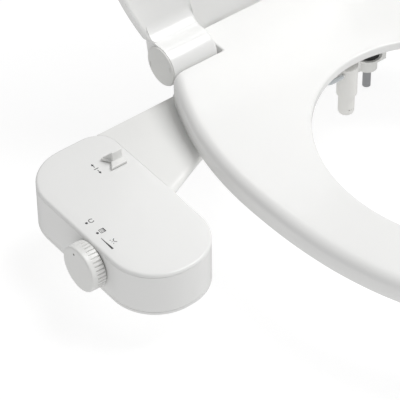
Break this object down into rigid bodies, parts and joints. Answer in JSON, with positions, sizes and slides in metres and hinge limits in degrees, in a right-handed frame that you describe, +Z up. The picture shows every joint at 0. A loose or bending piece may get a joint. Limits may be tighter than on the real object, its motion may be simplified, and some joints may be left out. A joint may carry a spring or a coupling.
{
  "type": "bidet seat",
  "caption": "Cold-water bidet seat: toilet seat and lid over a clamped plate with a nozzle and a side control pod with a pressure knob and a nozzle lever.",
  "frame": {"origin": "midway between the two fixing bolts, on the underside of the mount plate, which is the plane of the bowl rim", "axes": "+Y back towards the hinge, -Y to the front of the seat, +Z up, the control pod on the -X side, which is the seated user's right"},
  "size_m": [0.487, 0.5222, 0.5325],
  "materials": {
    "seat_white": "gloss",
    "plate_white": "satin",
    "pod_white": "satin gloss",
    "knob_white": "satin",
    "nozzle_white": "satin",
    "fitting_white": "moulded nylon, satin",
    "soft_grey": "matt",
    "black_rubber": "matt",
    "brass": "machined",
    "steel": "brushed",
    "tube_clear": "translucent polyethylene",
    "mark_ink": "printed marks"
  },
  "bodies": {
    "base": {"mount_plate": "plate_white", "plate_cover": "plate_white", "adjust_discs": "fitting_white", "fixing_bolts": "steel", "pod_housing": "pod_white", "pod_cap": "pod_white", "pod_base_cover": "pod_white", "pod_screws": "steel", "inlet_fitting": "brass", "inlet_locknut": "brass", "inlet_filter": "steel", "check_valve": "fitting_white", "supply_tube": "tube_clear", "valve_body": "brass", "valve_bonnet_nut": "brass", "stem_seal": "black_rubber", "feed_tube": "tube_clear", "water_duct": "tube_clear", "outlet_barb": "fitting_white", "nozzle_hose": "tube_clear", "nozzle_rails": "plate_white", "nozzle_hood": "plate_white", "hinge_posts": "steel", "hinge_pins": "steel"},
    "knob": {"pressure_knob": "knob_white", "valve_stem": "steel"},
    "lever": {"nozzle_lever": "knob_white"},
    "link": {"link_bar": "fitting_white"},
    "carriage": {"nozzle_holder": "nozzle_white"},
    "tip": {"nozzle_tip": "nozzle_white", "nozzle_seal": "black_rubber"},
    "nut_left": {"wing_nut_left": "fitting_white", "cone_washer_left": "black_rubber"},
    "nut_right": {"wing_nut_right": "fitting_white", "cone_washer_right": "black_rubber"},
    "seat": {"seat_ring": "seat_white", "seat_bumpers": "soft_grey"},
    "lid": {"lid_panel": "seat_white", "hinge_caps": "fitting_white", "lid_bumpers": "soft_grey"}
  },
  "joints": [
    {"name": "seat_hinge", "type": "hinge", "parent": "base", "child": "seat", "pos_m": [0, 0.0275, 0.0325], "axis": [-1, 0, 0], "range_deg": [0, 94]},
    {"name": "lid_hinge", "type": "hinge", "parent": "base", "child": "lid", "pos_m": [0, 0.0275, 0.0325], "axis": [-1, 0, 0], "range_deg": [-100, 0]},
    {"name": "knob_turn", "type": "hinge", "parent": "base", "child": "knob", "pos_m": [-0.2959, -0.0871, -0.0152], "axis": [1, 0, 0], "range_deg": [-30, 60]},
    {"name": "lever_turn", "type": "hinge", "parent": "base", "child": "lever", "pos_m": [-0.224, -0.0205, 0.006], "axis": [0, 0, 1], "range_deg": [-26, 26]},
    {"name": "link_slide", "type": "slide", "parent": "base", "child": "link", "axis": [1, 0, 0], "range_m": [-0.0046, 0.0046]},
    {"name": "carriage_slide", "type": "slide", "parent": "base", "child": "carriage", "axis": [0, 1, 0], "range_m": [-0.0041, 0.0041], "deforming": ["nozzle_hose"]},
    {"name": "nozzle_slide", "type": "slide", "parent": "carriage", "child": "tip", "axis": [0, 0, 1], "range_m": [0, 0.015]},
    {"name": "nut_left_off", "type": "slide", "parent": "base", "child": "nut_left", "axis": [0, 0, -1], "range_m": [0, 0.065]},
    {"name": "nut_right_off", "type": "slide", "parent": "base", "child": "nut_right", "axis": [0, 0, -1], "range_m": [0, 0.065]}
  ],
  "couplings": [
    {"joint": "link_slide", "follows": "lever_turn", "m_per_rad": 0.01},
    {"joint": "carriage_slide", "follows": "lever_turn", "m_per_rad": -0.0088}
  ]
}
